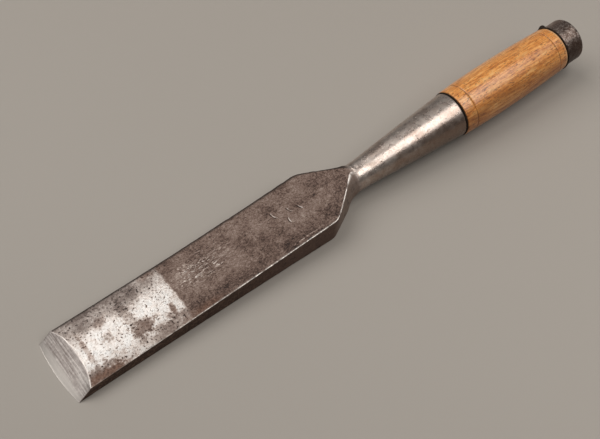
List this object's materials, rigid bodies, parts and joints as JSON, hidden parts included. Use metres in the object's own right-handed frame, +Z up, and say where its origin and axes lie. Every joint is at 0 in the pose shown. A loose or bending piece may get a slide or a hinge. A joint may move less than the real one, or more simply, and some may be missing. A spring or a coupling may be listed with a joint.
{
  "type": "socket framing chisel",
  "caption": "Two-inch socket framing chisel: tapered bevel-ground steel blade, round conical socket, turned wooden handle with a leather washer and an iron striking hoop.",
  "frame": {"origin": "middle of the tool's bounding box, at its underside: the flat back of the blade lies on z = 0", "axes": "+X along the tool from the cutting edge towards the struck end, +Z up out of the bevelled face, +Y across the blade"},
  "size_m": [0.4542, 0.0508, 0.0405],
  "materials": {
    "blade_steel": "old forged steel: ground bright near the edge, brown-grey patina and fine pitting elsewhere",
    "handle_wood": "turned and oiled hardwood, satin, open pores along the grain",
    "washer_leather": "blackened, hardened leather",
    "hoop_iron": "dark wrought iron, worn speckled on the high side"
  },
  "bodies": {
    "blade": {"blade": "blade_steel"},
    "handle": {"handle": "handle_wood", "mouth_washer": "washer_leather", "hoop_washer": "washer_leather", "hoop": "hoop_iron"}
  },
  "joints": [
    {"name": "handle_draw", "type": "slide", "parent": "blade", "child": "handle", "axis": [0.999, 0, 0.044], "range_m": [0, 0.08]}
  ]
}
